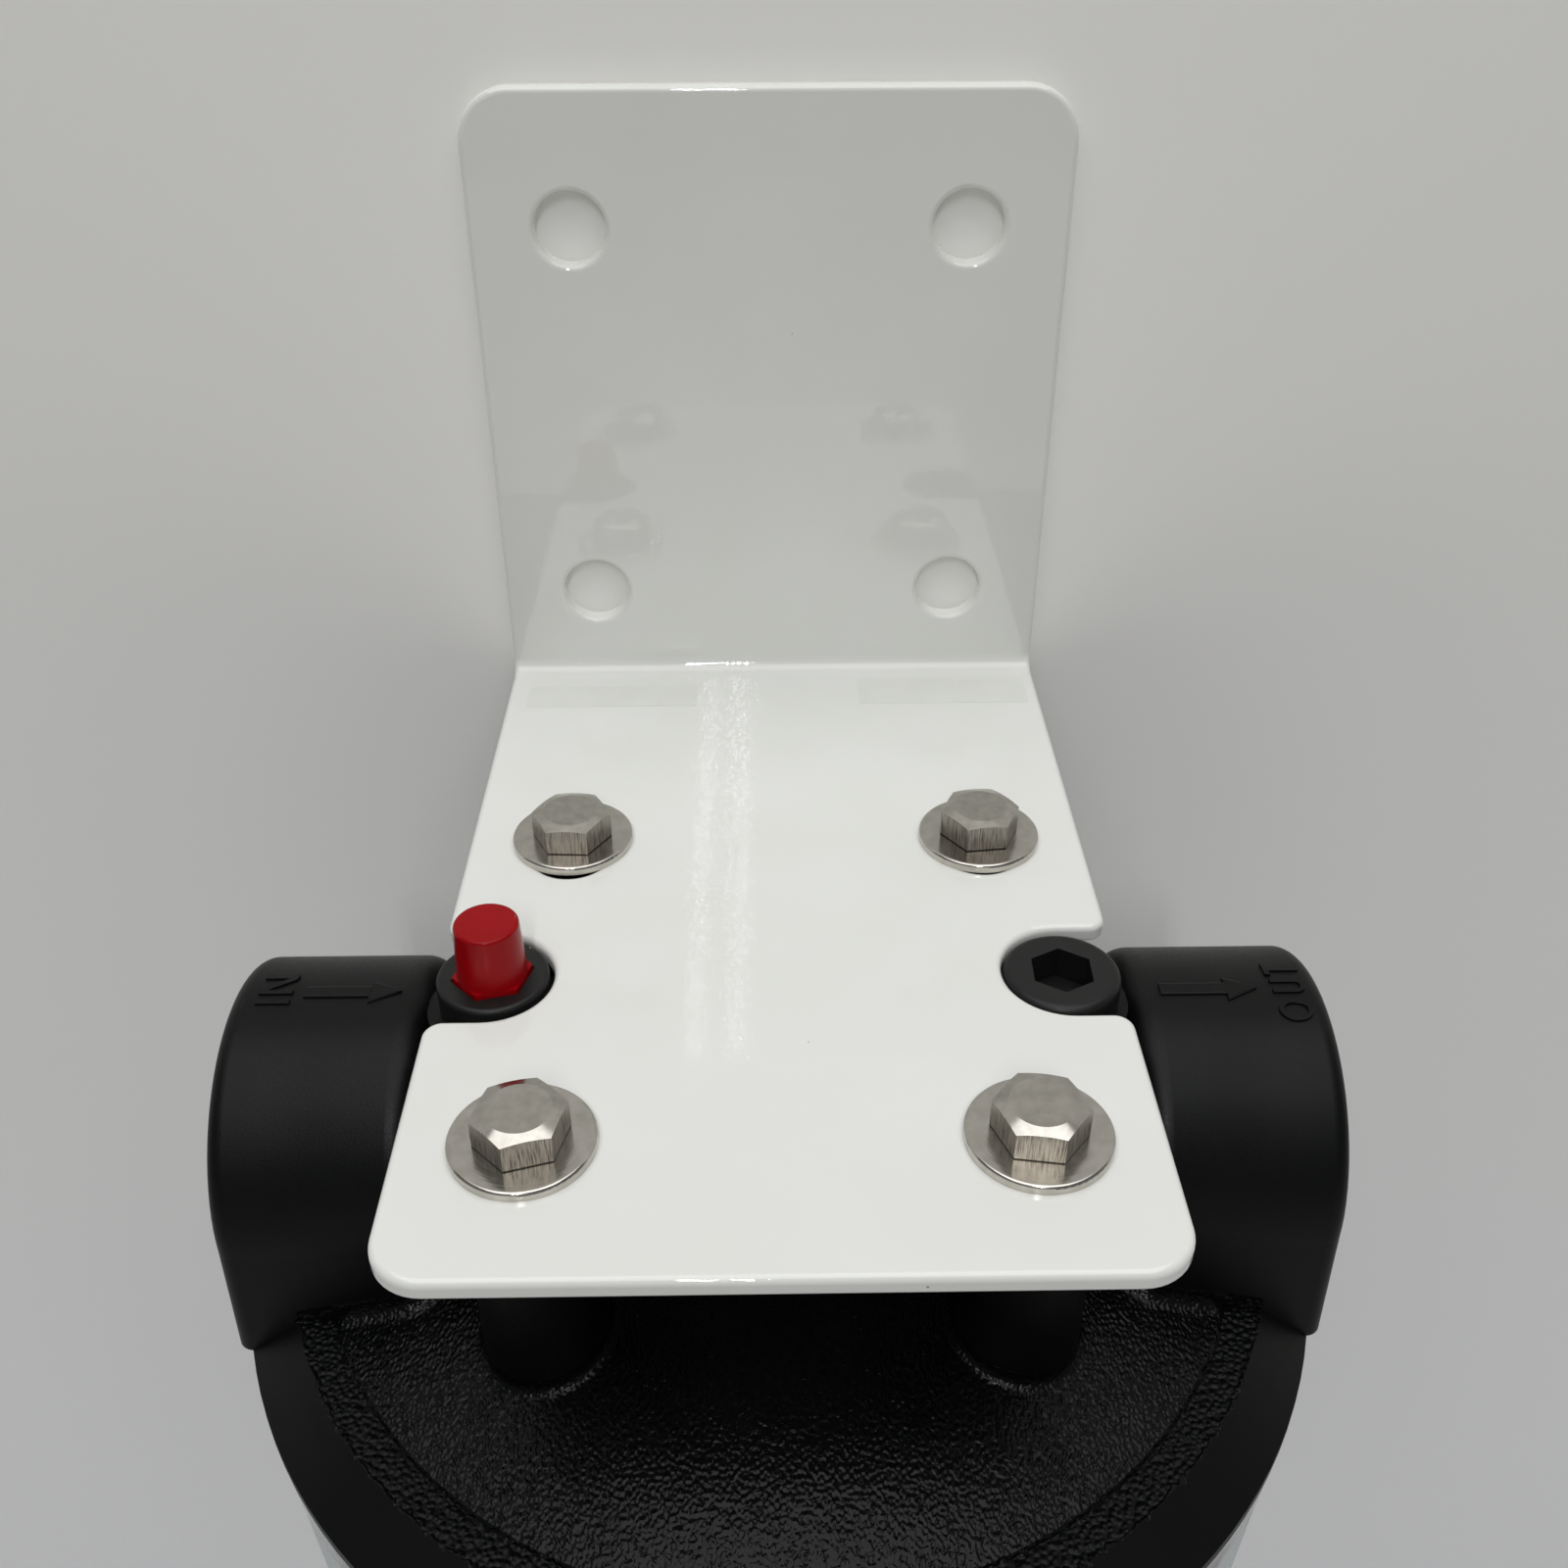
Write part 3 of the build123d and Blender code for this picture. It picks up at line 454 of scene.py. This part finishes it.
    # and they break off here and there
    patches = addNode(tree, "TexNoise", {"Scale": 1 / (s["breakMm"] * mm), "Detail": 0.0}, {"Vector": place})
    kept = addNode(tree, "MapRange", {"From Min": s["breakFrom"], "From Max": s["breakTo"]},
                   {"Value": patches.outputs["Fac"]}).outputs[0]
    crease = addNode(tree, "Math", {"operation": "MULTIPLY"}, {0: crease, 1: kept}).outputs[0]
    swellings = addNode(tree, "TexNoise", {"Scale": 1 / (s["swellMm"] * mm), "Detail": 0.0},
                        {"Vector": along})
    swell = addNode(tree, "Math", {"operation": "MULTIPLY_ADD", 1: s["swellDepth"]},
                    {0: swellings.outputs["Fac"], 2: crease}).outputs[0]
    leather = addNode(tree, "Math", {"operation": "MULTIPLY"}, {0: swell, 1: crownPart}).outputs[0]
    knobs = addNode(tree, "TexVoronoi", {"feature": "SMOOTH_F1", "Scale": 1 / (s["knobMm"] * mm),
                                         "Smoothness": 0.5, "Randomness": 1.0},
                    {"Vector": place}).outputs["Distance"]
    knobHeight = addNode(tree, "Math", {"operation": "MULTIPLY", 1: -s["knobDepth"]}, {0: knobs}).outputs[0]
    knobHeight = addNode(tree, "Math", {"operation": "MULTIPLY"}, {0: knobHeight, 1: ringPart}).outputs[0]
    fibre = addNode(tree, "TexNoise", {"Scale": 1 / (s["fibreMm"] * mm), "Detail": 2.0},
                    {"Vector": place}).outputs["Fac"]
    fine = addNode(tree, "Math", {"operation": "MULTIPLY_ADD", 1: s["fibreDepth"]},
                   {0: fibre, 2: leather}).outputs[0]
    relief = addNode(tree, "Math", {"operation": "ADD"}, {0: fine, 1: knobHeight}).outputs[0]
    relief = addNode(tree, "Math", {"operation": "ADD"}, {0: relief, 1: bulge}).outputs[0]
    lifted = addNode(tree, "Bump", {"Distance": mm}, {"Height": relief})
    tree.links.new(lifted.outputs["Normal"], shader.inputs["Normal"])
    body = cloudColour(tree, shader, place, s)
    # painted shade: the knobbly ring takes a darker black, for the shade deep among its knobs
    dark = addNode(tree, "Mix", {"data_type": "RGBA", 7: linear(s["ringShadeColour"])}, {0: ringPart, 6: body})
    tree.links.new(dark.outputs[2], shader.inputs["Base Color"])
    rough = addNode(tree, "MapRange", {"From Min": noiseLow, "From Max": noiseHigh,
                                       "To Min": s["bossRoughness"] - s["bossSpread"],
                                       "To Max": s["bossRoughness"] + s["bossSpread"]},
                    {"Value": fibre}).outputs[0]
    for part, value in ((crownPart, s["crownRoughness"]), (ringPart, s["ringRoughness"]),
                        (flankPart, s["flankRoughness"])):
        rough = addNode(tree, "Mix", {3: value}, {0: part, 2: rough}).outputs[0]
    tree.links.new(rough, shader.inputs["Roughness"])
    return material


headMaterial = makeHeadPlastic(headPlastic)
dress(headMaterial, "head")
print("head dressed")


# raised flow marks on the port bosses: letters and arrows that stand a little proud of the curve, in mm
flowMarks = {
    "height": 0.38, "sink": 0.15, "stroke": 1.05, "thinStroke": 0.95, "step": 0.5,
    # across a strip: share of its width, share of its height
    "shoulders": ((0.04, 0.75), (0.14, 1.0), (0.86, 1.0), (0.96, 0.75)),
    # arrows: tail, neck, tip and middle line
    "arrowShaft": 2.9, "arrowBarb": 6.0, "arrowPoint": 0.24,
    "arrowIn": (-79.9, -68.8, -63.5, 1.25), "arrowOut": (64.35, 75.5, 80.75, -0.45),
    # bars from end to end, an oval and half an oval: middle, radii
    "barsIn": (((-87.6, -1.15), (-81.9, -1.15)), ((-87.6, 1.3), (-81.9, 1.3)),
               ((-87.3, 1.7), (-82.3, 5.2)), ((-87.6, 5.7), (-81.9, 5.7))),
    "barsOut": (((83.6, 2.95), (83.6, 6.4)), ((83.9, 4.65), (89.1, 4.65))),
    "thinBarsOut": (((83.4, -1.225), (87.5, -1.225)), ((83.4, 1.325), (87.5, 1.325))),
    "ovalOut": (86.2, -5.5, 2.9, 2.3), "bowlOut": (87.5, 0.05, 1.65, 1.75),
}


def onBoss(x, along, height):
    # along is the arc length from the top of the boss, + towards the wall
    r = headPlastic["portR"] + height
    turn = along / headPlastic["portR"]
    return (x * mm, headY + r * math.sin(turn) * mm, (headPlastic["portAxisZ"] + r * math.cos(turn)) * mm)


def barOutline(a, b, width, s):
    # a straight bar from a to b, cut across often enough to follow the curve
    length = math.hypot(b[0] - a[0], b[1] - a[1])
    ux, uy = (b[0] - a[0]) / length, (b[1] - a[1]) / length
    count = max(2, int(length / s["step"]))
    middle = [(a[0] + ux * length * i / count, a[1] + uy * length * i / count) for i in range(count + 1)]
    half = width / 2
    return ([(x - uy * half, y + ux * half) for x, y in middle],
            [(x + uy * half, y - ux * half) for x, y in middle])


def raisedStrip(left, right, s):
    # a strip between two lines on the boss, sunk a little at its edges and rounded to its top
    profile = [(t, s["height"] * share) for t, share in s["shoulders"]]
    profile = [(0.0, -s["sink"])] + profile + [(1.0, -s["sink"])]
    vertices, faces = [], []
    for (lx, ly), (rx, ry) in zip(left, right):
        vertices += [onBoss(lx + (rx - lx) * t, ly + (ry - ly) * t, height) for t, height in profile]
    n = len(profile)
    last = (len(left) - 1) * n
    for start in range(0, last, n):
        faces += [(start + k, start + k + 1, start + k + n + 1, start + k + n) for k in range(n - 1)]
    faces += [tuple(range(n)), tuple(range(last, last + n))]
    return vertices, faces


def markPiece(name, strips, s):
    vertices, faces = [], []
    for left, right in strips:
        v, f = raisedStrip(left, right, s)
        faces += [tuple(i + len(vertices) for i in face) for face in f]
        vertices += v
    meshPiece(name, vertices, faces, headMaterial, "fixed", smooth=False)


def ovalOutline(x, y, rx, ry, width, first, last, count):
    turns = [math.radians(first + (last - first) * i / count) for i in range(count + 1)]
    return ([(x + rx * math.cos(t), y + ry * math.sin(t)) for t in turns],
            [(x + (rx - width) * math.cos(t), y + (ry - width) * math.sin(t)) for t in turns])


def arrowOutlines(tail, neck, tip, middle, s):
    # a flat arrow that points to +X: a shaft and a head
    half, barb, point = s["arrowShaft"] / 2, s["arrowBarb"] / 2, s["arrowPoint"] / 2
    return [
        ([(tail, middle + half), (neck, middle + half)], [(tail, middle - half), (neck, middle - half)]),
        ([(neck, middle + barb), (tip, middle + point)], [(neck, middle - barb), (tip, middle - point)]),
    ]


def buildMarks(s):
    wide, thin = s["stroke"], s["thinStroke"]
    markPiece("markIn", [barOutline(a, b, wide, s) for a, b in s["barsIn"]], s)
    markPiece("arrowIn", arrowOutlines(*s["arrowIn"], s), s)
    markPiece("arrowOut", arrowOutlines(*s["arrowOut"], s), s)
    letters = [ovalOutline(*s["ovalOut"], thin, 0.0, 360.0, 28)]
    letters += [ovalOutline(*s["bowlOut"], thin, -90.0, 90.0, 14)]
    letters += [barOutline(a, b, thin, s) for a, b in s["thinBarsOut"]]
    letters += [barOutline(a, b, wide, s) for a, b in s["barsOut"]]
    markPiece("markOut", letters, s)


buildMarks(flowMarks)
print("flow marks raised")


fitting = {
    "colour": "#101111", "cloudColour": "#151615", "cloudMm": 5.0, "specular": 0.35,
    "roughness": 0.42, "glossSpread": 0.06, "grainMm": 0.35, "grainDepth": 0.006,
    "turnMm": 0.5, "turnDepth": 0.006, "axisX": 47.6,
}
buttonRed = {
    "colour": "#98050e", "cloudColour": "#90050d", "cloudMm": 6.0, "specular": 0.16,
    "roughness": 0.2, "glossSpread": 0.03, "grainMm": 1.6, "grainDepth": 0.006,
}


def makeFitting(s):
    # glass filled nylon, moulded and faced on a lathe: dull black with faint rings on its flats
    material, tree, shader, place = startMaterial("facedNylon", {"Specular IOR Level": s["specular"]})
    cloudColour(tree, shader, place, s)
    folded = addNode(tree, "VectorMath", {"operation": "ABSOLUTE"}, {0: place})
    radius = distanceFromAxis(tree, folded.outputs[0], s["axisX"] * mm, -headY)
    rings = addNode(tree, "TexNoise", {"noise_dimensions": "1D", "Scale": 1 / (s["turnMm"] * mm),
                                       "Detail": 1.0}, {"W": radius})
    turned = addNode(tree, "Bump", {"Distance": s["turnDepth"] * mm}, {"Height": rings.outputs["Fac"]})
    fineSurface(tree, shader, place, s, turned.outputs["Normal"])
    return material


def makeButton(s):
    # red acetal from a polished mould: deep colour under a soft gloss
    material, tree, shader, place = startMaterial("redAcetal", {"Specular IOR Level": s["specular"]})
    cloudColour(tree, shader, place, s)
    fineSurface(tree, shader, place, s)
    return material


dress(makeFitting(fitting), "relief_valve_body", "gauge_port_plug")
dress(makeButton(buttonRed), "relief_button")
print("relief valve dressed")


hiddenMetal = {
    "steel": "#b7b4ad", "brass": "#c9a24a",
    "roughness": 0.28, "glossSpread": 0.07, "grainMm": 0.5, "grainDepth": 0.003,
}
sealRubber = {
    "nitrile": "#1c1c1c", "vinyl": "#d9dad6", "sheen": 0.1,
    "roughness": 0.52, "glossSpread": 0.08, "grainMm": 0.4, "grainDepth": 0.006,
}


def makeTurnedMetal(name, colour, s):
    # drawn wire and turned brass: bright metal with a fine tool grain
    material, tree, shader, place = startMaterial(name, {"Base Color": linear(colour), "Metallic": 1.0})
    fineSurface(tree, shader, place, s)
    return material


def makeSealRubber(name, colour, s):
    # moulded nitrile and soft vinyl: dull, with a velvety edge
    material, tree, shader, place = startMaterial(name, {
        "Base Color": linear(colour), "Sheen Weight": s["sheen"],
    })
    fineSurface(tree, shader, place, s)
    return material


wireMaterial = makeTurnedMetal("stainlessWire", hiddenMetal["steel"], hiddenMetal)
dress(wireMaterial, "relief_stem", "relief_spring")
dress(makeTurnedMetal("turnedBrass", hiddenMetal["brass"], hiddenMetal), "boss_inserts")
dress(makeSealRubber("nitrileRubber", sealRubber["nitrile"], sealRubber),
      "relief_seal", "relief_valve_o_ring", "gauge_plug_o_ring", "sump_o_ring")
dress(makeSealRubber("softVinyl", sealRubber["vinyl"], sealRubber),
      "cartridge_top_gasket", "cartridge_bottom_gasket")
print("seals dressed")


# the button's return spring, drawn as a coil of its own in place of the part's spring
returnSpring = {"wire": 0.7, "turns": 6, "travel": 2.5, "stepsPerTurn": 24, "sides": 8}


def buildReturnSpring(s, material):
    low, high = (Vector(corner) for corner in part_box("relief_spring"))
    r = s["wire"] / 2 * mm
    middle = (low + high) / 2
    coilR = (high.x - low.x) / 2 - r
    steps = s["turns"] * s["stepsPerTurn"]
    n = s["sides"]
    rise = high.z - low.z - 2 * r
    vertices, faces = [], []
    for i in range(steps + 1):
        turn = 2 * math.pi * i / s["stepsPerTurn"]
        for j in range(n):
            around = 2 * math.pi * j / n
            reach = coilR + r * math.cos(around)
            vertices.append((middle.x + reach * math.cos(turn), middle.y + reach * math.sin(turn),
                             low.z + r + rise * i / steps + r * math.sin(around)))
    for i in range(steps):
        faces += [(i * n + j, i * n + (j + 1) % n, (i + 1) * n + (j + 1) % n, (i + 1) * n + j)
                  for j in range(n)]
    faces += [tuple(range(n)), tuple(range(steps * n, (steps + 1) * n))]
    spring = meshPiece("returnSpring", vertices, faces, material, "fixed")
    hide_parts("relief_spring")
    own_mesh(spring)


buildReturnSpring(returnSpring, wireMaterial)
print("return spring wound")


clearSump = {
    "colour": "#dfe4e4", "shadowColour": "#d8dcdc", "ior": 1.57, "clearness": 0.92,
    "roughness": 0.1, "glossSpread": 0.05, "grainMm": 0.8, "grainDepth": 0.003,
    "flowMm": 9.0, "flowDepth": 0.06, "flowSquash": 0.15,
}


def makeClearSump(s):
    # styrene acrylonitrile, moulded clear: a trace of grey, with long flow waves down the wall
    material, tree, shader, place = startMaterial("clearStyreneAcrylonitrile", {
        "Base Color": linear(s["colour"]), "IOR": s["ior"], "Transmission Weight": s["clearness"],
    })
    stretched = addNode(tree, "Mapping", {"Scale": (1, 1, s["flowSquash"])}, {"Vector": place}).outputs[0]
    flow = addNode(tree, "TexNoise", {"Scale": 1 / (s["flowMm"] * mm)}, {"Vector": stretched})
    wavy = addNode(tree, "Bump", {"Distance": s["flowDepth"] * mm}, {"Height": flow.outputs["Fac"]})
    fineSurface(tree, shader, place, s, wavy.outputs["Normal"])
    # lamp light goes through the wall, a little dimmed, and lights the cartridge
    shadow = addNode(tree, "LightPath").outputs["Is Shadow Ray"]
    dimmed = addNode(tree, "BsdfTransparent", {"Color": linear(s["shadowColour"])})
    surface = addNode(tree, "MixShader", links={0: shadow, 1: shader.outputs[0], 2: dimmed.outputs[0]})
    tree.links.new(surface.outputs[0], tree.nodes["Material Output"].inputs["Surface"])
    return material


sumpMaterial = makeClearSump(clearSump)
dress(sumpMaterial, "sump")
print("sump dressed")


media = {
    "colour": "#e9e8e1", "cloudColour": "#dad8ce", "cloudMm": 4.0, "sheen": 0.25,
    "roughness": 0.88, "glossSpread": 0.06, "grainMm": 0.5, "grainDepth": 0.03,
}
endCap = {
    "colour": "#e2e2de", "cloudColour": "#d6d6d1", "cloudMm": 8.0,
    "roughness": 0.5, "glossSpread": 0.05, "grainMm": 0.7, "grainDepth": 0.008,
}
core = {
    "colour": "#e6e6e2", "cloudColour": "#d6d6d1", "cloudMm": 8.0,
    "roughness": 0.4, "glossSpread": 0.05, "grainMm": 0.7, "grainDepth": 0.008,
}


def makeMedia(s):
    # spun polyester, calendered and folded: matt white felt, its fibres drawn coarser so that they show
    material, tree, shader, place = startMaterial("spunPolyester", {"Sheen Weight": s["sheen"]})
    cloudColour(tree, shader, place, s)
    fineSurface(tree, shader, place, s)
    return material


def makeWhitePlastic(name, s):
    # plastisol poured into an open mould, and moulded polypropylene: white with a waxy gloss
    material, tree, shader, place = startMaterial(name, {})
    cloudColour(tree, shader, place, s)
    fineSurface(tree, shader, place, s)
    return material


dress(makeMedia(media), "cartridge_pleats")
dress(makeWhitePlastic("plastisol", endCap), "cartridge_top_cap", "cartridge_bottom_cap")
dress(makeWhitePlastic("whitePolypropylene", core), "cartridge_core")
print("cartridge dressed")


# screw threads, each one round ridge: right-handed on spigot and collar, finer in the two ports, in mm;
# the ridge has a flat crest, and dwindles at both ends to a share of its width and height
ridge = {"crestShare": 0.4, "endWidth": 0.35, "endHeight": 0.02, "fadeTurns": 1 / 6}
sumpThread = {
    **ridge, "lead": 8.0, "rootMale": 81.4, "crestMale": 83.6, "rootFemale": 84.3, "crestFemale": 82.0,
    "width": 3.1, "top": -121.2, "bottom": -138.6, "sides": 180,
}
portThread = {
    **ridge, "lead": 2.2, "root": 16.3, "crest": 15.5, "width": 1.5,
    "outer": 90.6, "inner": 70.0, "sides": 48,
}


def threadRidge(name, start, end, root, crest, s, toPoint, material, body):
    # a ridge that runs along a helix and tapers off over a sixth of a turn at both ends
    steps = int(abs(end - start) / s["lead"] * s["sides"])
    fade = s["sides"] * s["fadeTurns"]
    vertices, faces = [], []
    for i in range(steps + 1):
        share = i / steps
        full = min(1.0, i / fade, (steps - i) / fade)
        angle = 2 * math.pi * i / s["sides"]
        axial = start + (end - start) * share
        top = root + (crest - root) * max(full, s["endHeight"])
        half = s["width"] / 2 * (s["endWidth"] + (1 - s["endWidth"]) * full)
        flat = s["crestShare"] * half
        for offset, r in ((-half, root), (-flat, top), (flat, top), (half, root)):
            vertices.append(toPoint(axial + offset, angle, r))
    for i in range(0, steps * 4, 4):
        faces += [(i, i + 1, i + 5, i + 4), (i + 1, i + 2, i + 6, i + 5), (i + 2, i + 3, i + 7, i + 6),
                  (i + 3, i, i + 4, i + 7)]
    faces += [(0, 1, 2, 3), tuple(range(steps * 4, steps * 4 + 4))]
    meshPiece(name, vertices, faces, material, body)


def buildThreads(s, p):
    def upright(axial, angle, r):
        # z rises with the angle, which makes the thread right-handed
        return (r * math.cos(angle) * mm, headY + r * math.sin(angle) * mm, axial * mm)

    half = s["lead"] / 2
    threadRidge("spigotThread", s["bottom"], s["top"], s["rootMale"], s["crestMale"], s, upright,
                headMaterial, "fixed")
    threadRidge("collarThread", s["bottom"] - half, s["top"] - half, s["rootFemale"], s["crestFemale"], s,
                upright, sumpMaterial, "bowl")
    for side, name in ((-1, "inletThread"), (1, "outletThread")):
        def sideways(axial, angle, r, side=side):
            return (side * axial * mm, headY + r * math.cos(angle) * mm,
                    (headPlastic["portAxisZ"] + side * r * math.sin(angle)) * mm)

        threadRidge(name, p["outer"], p["inner"], p["root"], p["crest"], p, sideways,
                    headMaterial, "fixed")


buildThreads(sumpThread, portThread)
print("threads cut")


# two blank film patches on the shelf: name, left, right, front and rear edge, in mm
filmLabel = {
    "thickness": 0.08, "corner": 0.8, "cornerSteps": 4,
    "colour": "#e4e5e0", "cloudColour": "#e0e1dc", "cloudMm": 6.0,
    "roughness": 0.22, "glossSpread": 0.04, "grainMm": 6.0, "grainDepth": 0.02,
    "patches": (("labelLeft", -52.9, -16.4, -19.7, -11.2), ("labelRight", 18.4, 54.6, -19.4, -9.1)),
}


def makeFilm(s):
    # cast vinyl film: clear, slightly greyer than the paint under it, with a softer gloss
    material, tree, shader, place = startMaterial("castVinylFilm", {})
    cloudColour(tree, shader, place, s)
    fineSurface(tree, shader, place, s)
    return material


def buildLabels(s):
    material = makeFilm(s)
    c = s["corner"]
    for name, x0, x1, y0, y1 in s["patches"]:
        outline = []
        corners = ((x1 - c, y1 - c, 0), (x0 + c, y1 - c, 90), (x0 + c, y0 + c, 180), (x1 - c, y0 + c, 270))
        for cx, cy, first in corners:
            turns = [math.radians(first + 90 * i / s["cornerSteps"]) for i in range(s["cornerSteps"] + 1)]
            outline += [(cx + c * math.cos(t), cy + c * math.sin(t)) for t in turns]
        n = len(outline)
        vertices = [(x * mm, y * mm, shelfZ + h * mm) for h in (0.0, s["thickness"]) for x, y in outline]
        faces = [(i, (i + 1) % n, n + (i + 1) % n, n + i) for i in range(n)]
        faces += [tuple(range(n)), tuple(range(n, 2 * n))]
        meshPiece(name, vertices, faces, material, "fixed", smooth=False)


buildLabels(filmLabel)
print("labels laid")
